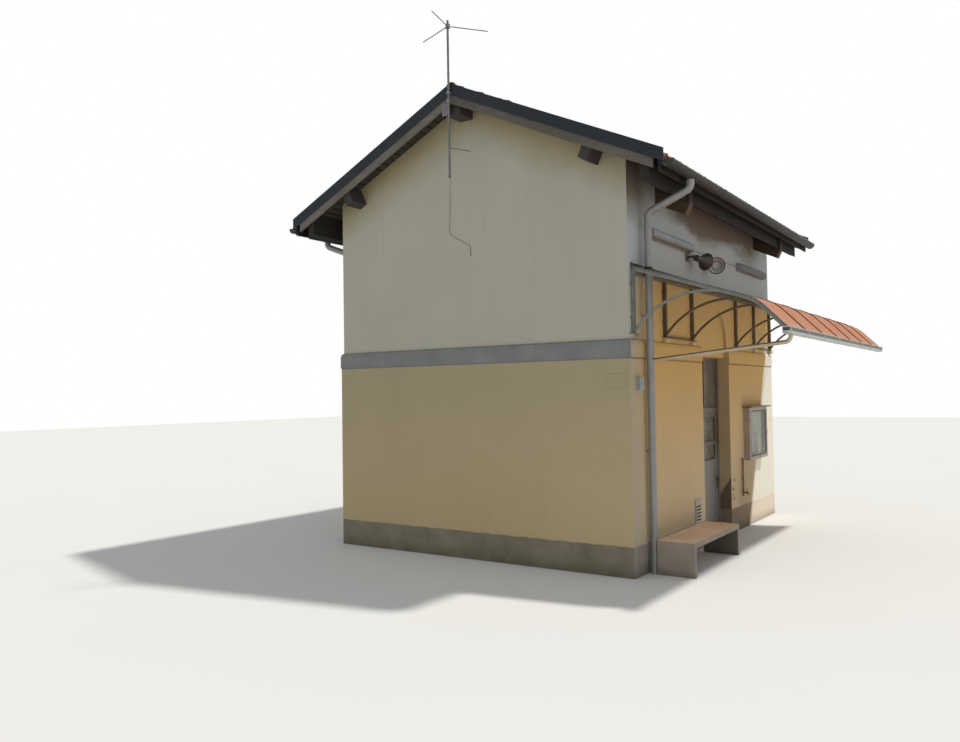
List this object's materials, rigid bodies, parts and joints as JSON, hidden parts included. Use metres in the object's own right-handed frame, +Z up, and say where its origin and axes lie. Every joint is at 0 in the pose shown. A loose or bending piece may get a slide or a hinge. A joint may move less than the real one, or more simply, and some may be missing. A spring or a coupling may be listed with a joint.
{
  "type": "railway station building",
  "caption": "Small gabled station building of rendered masonry with an arched doorway, tiled roof, curved canopy on steel frames, bench, notice case and roof antenna.",
  "frame": {"origin": "centre of the building's footprint on the ground, on the underside of the floor slab", "axes": "+X along the track side to the right as seen from the platform, +Y into the building away from the platform, +Z up"},
  "size_m": [8.0449, 7.8715, 7.74],
  "materials": {
    "wall_render": "matte render",
    "grey_render": "matte render",
    "concrete": "rough",
    "door_metal": "satin",
    "glass": "clear",
    "lock_metal": "satin",
    "roof_timber": "weathered",
    "roof_boards": "weathered",
    "clay_tile": "matte",
    "verge_metal": "matte",
    "barge_timber": "weathered",
    "gutter_metal": "satin",
    "pipe_metal": "satin",
    "canopy_steel": "matte",
    "canopy_sheet": "translucent",
    "seam_metal": "matte",
    "light_metal": "satin",
    "lamp_cover": "satin",
    "speaker_metal": "satin",
    "notice_metal": "satin",
    "vent_metal": "satin",
    "box_plastic": "satin",
    "rusty_iron": "rusty",
    "bench_concrete": "rough",
    "antenna_metal": "satin"
  },
  "bodies": {
    "building": {"antenna": "antenna_metal", "back_wall": "wall_render", "barge_boards": "barge_timber", "bench": "bench_concrete", "canopy_back_beam": "canopy_steel", "canopy_drain": "pipe_metal", "canopy_frames": "canopy_steel", "canopy_gutter": "light_metal", "canopy_pads": "wall_render", "canopy_seams": "seam_metal", "canopy_sheet": "canopy_sheet", "door_frame": "door_metal", "door_side_panel": "door_metal", "door_sill": "concrete", "door_tympanum": "wall_render", "downpipes": "pipe_metal", "eave_beams": "roof_timber", "eave_fascias": "roof_timber", "eave_gutters": "gutter_metal", "floor_slab": "concrete", "front_roof_boards": "roof_boards", "front_roof_tiles": "clay_tile", "front_wall_left": "wall_render", "front_wall_over_door": "wall_render", "front_wall_right": "wall_render", "gable_string_courses": "grey_render", "left_gable_wall": "wall_render", "long_string_courses": "wall_render", "loudspeakers": "speaker_metal", "mast_clamps": "pipe_metal", "meter_box": "box_plastic", "notice_case": "notice_metal", "notice_glass": "glass", "pipe_brackets": "pipe_metal", "rear_roof_boards": "roof_boards", "rear_roof_tiles": "clay_tile", "ridge_tiles": "clay_tile", "right_gable_wall": "wall_render", "roof_beams": "roof_timber", "transom_glass": "glass", "vent_grille": "vent_metal", "verge_flashings": "verge_metal", "wall_lamps": "lamp_cover", "wall_tap": "rusty_iron"},
    "door": {"door_leaf": "door_metal", "door_glass": "glass", "door_handle": "lock_metal"}
  },
  "joints": [
    {"name": "door_hinge", "type": "hinge", "parent": "building", "child": "door", "pos_m": [-0.33, -2.27, 0.108], "axis": [0, 0, 1], "range_deg": [0, 95]}
  ]
}
